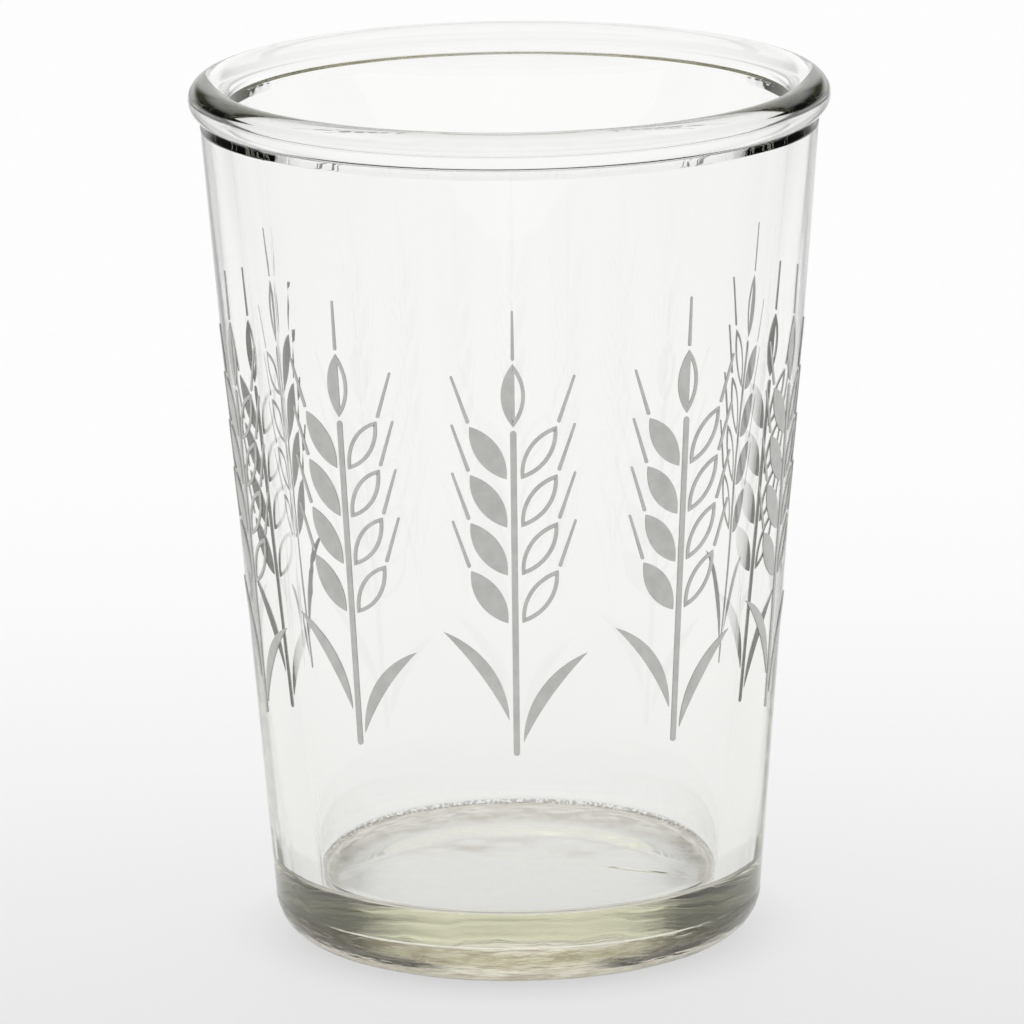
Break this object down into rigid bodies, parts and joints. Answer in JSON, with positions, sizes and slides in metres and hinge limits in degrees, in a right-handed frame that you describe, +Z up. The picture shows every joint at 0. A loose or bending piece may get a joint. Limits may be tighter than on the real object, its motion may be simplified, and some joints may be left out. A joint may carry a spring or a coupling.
{
  "type": "tasting glass",
  "caption": "Tapered tumbler of thick clear pressed glass with a round rim bead, a heavy base and a row of enamel-printed barley ears, for tasting drinks.",
  "frame": {"origin": "middle of the face that stands on the table", "axes": "+Z up along the axis of the glass, -Y towards the viewer, where the middle printed ear is, +X to the viewer's right"},
  "size_m": [0.07, 0.07, 0.096],
  "materials": {
    "clear_glass": "clear soda-lime glass, fire-polished outside, faintly wavy from the press",
    "enamel": "pale warm grey fired enamel, satin"
  },
  "bodies": {
    "root": {"glass_body": "clear_glass", "ear_print_1": "enamel", "ear_print_2": "enamel", "ear_print_3": "enamel", "ear_print_4": "enamel", "ear_print_5": "enamel", "ear_print_6": "enamel", "ear_print_7": "enamel"}
  },
  "joints": []
}
